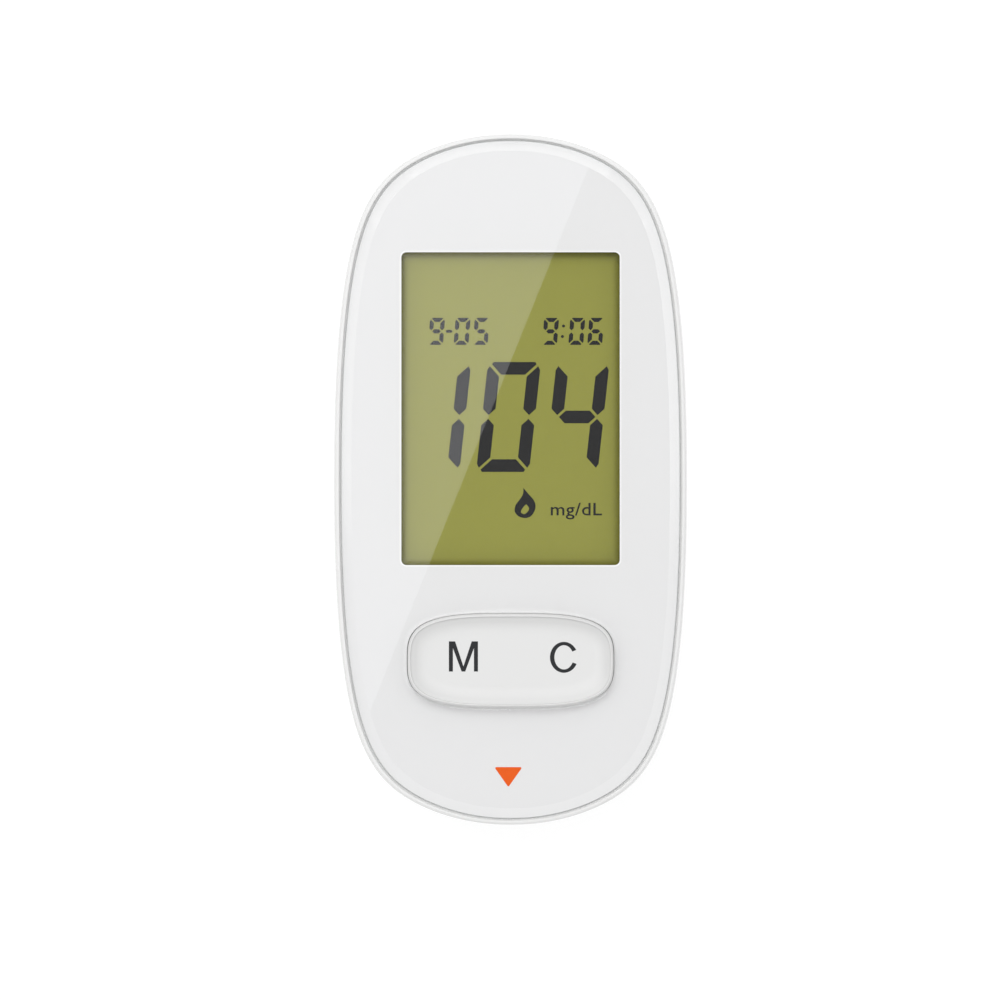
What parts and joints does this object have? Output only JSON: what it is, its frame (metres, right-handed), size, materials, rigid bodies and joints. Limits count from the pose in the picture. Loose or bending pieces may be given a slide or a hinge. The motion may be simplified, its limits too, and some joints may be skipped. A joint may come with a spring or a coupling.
{
  "type": "blood glucose meter",
  "caption": "Hand-held blood glucose meter with an oval white case, a tall display window, one rocker key, a test strip port, a strip ejector and a coin-cell door.",
  "frame": {"origin": "middle of the flat back that the meter lies on", "axes": "+Z out of the display, +Y towards the top of the display, away from the strip port, +X to the right of the display"},
  "size_m": [0.048, 0.094, 0.0161],
  "materials": {
    "rear_abs": "fine satin moulded ABS",
    "front_abs": "white moulded ABS",
    "clear_acrylic": "clear polished acrylic",
    "white_ink": "white screen print behind the faceplate",
    "tape": "double-sided tape",
    "polariser": "polarising film",
    "lcd_glass": "float glass",
    "reflector": "olive reflective film",
    "foam": "black foam",
    "natural_abs": "natural moulded plastic",
    "silicone_pink": "layered conductive silicone",
    "key_abs": "white moulded ABS",
    "silicone_grey": "grey silicone",
    "board": "green solder mask on glass epoxy",
    "epoxy": "black epoxy package",
    "can": "drawn steel can",
    "ceramic_part": "fired ceramic",
    "sounder": "black moulded plastic",
    "gold_plate": "gold-plated spring bronze",
    "steel": "nickel-plated steel",
    "acetal": "white acetal"
  },
  "bodies": {
    "case": {"rear_housing": "rear_abs", "front_housing": "front_abs", "faceplate": "clear_acrylic", "faceplate_print": "white_ink", "faceplate_tape": "tape", "lcd_front_polariser": "polariser", "lcd_front_glass": "lcd_glass", "lcd_back_glass": "lcd_glass", "lcd_reflector": "reflector", "lcd_gasket": "foam", "lcd_frame": "natural_abs", "zebra_connector": "silicone_pink", "key_mat": "silicone_grey", "main_board": "board", "microcontroller": "epoxy", "memory_chip": "epoxy", "crystal": "can", "capacitors": "ceramic_part", "sounder": "sounder", "strip_connector": "natural_abs", "connector_contacts": "gold_plate", "coin_cell": "steel", "battery_contact_positive": "gold_plate", "battery_contact_negative": "gold_plate", "ejector_spring": "steel", "case_screws": "steel", "board_screws": "steel"},
    "rocker_key": {"rocker_key": "key_abs"},
    "ejector": {"ejector_button": "key_abs", "ejector_carriage": "acetal"},
    "battery_door": {"battery_door": "rear_abs", "door_latch": "rear_abs"}
  },
  "joints": [
    {"name": "key_rock", "type": "hinge", "parent": "case", "child": "rocker_key", "pos_m": [0, -0.0245, 0.0119], "axis": [0, 1, 0], "range_deg": [-2, 2], "stiffness_Nm_per_rad": 0.52, "deforming": ["key_mat"]},
    {"name": "eject", "type": "slide", "parent": "case", "child": "ejector", "axis": [0, -1, 0], "range_m": [0, 0.006], "stiffness_N_per_m": 250, "springref_m": -0.002, "deforming": ["ejector_spring"]},
    {"name": "door_open", "type": "hinge", "parent": "case", "child": "battery_door", "pos_m": [0, 0.0271, 0.00015], "axis": [1, 0, 0], "range_deg": [0, 35], "deforming": ["door_latch"]}
  ]
}
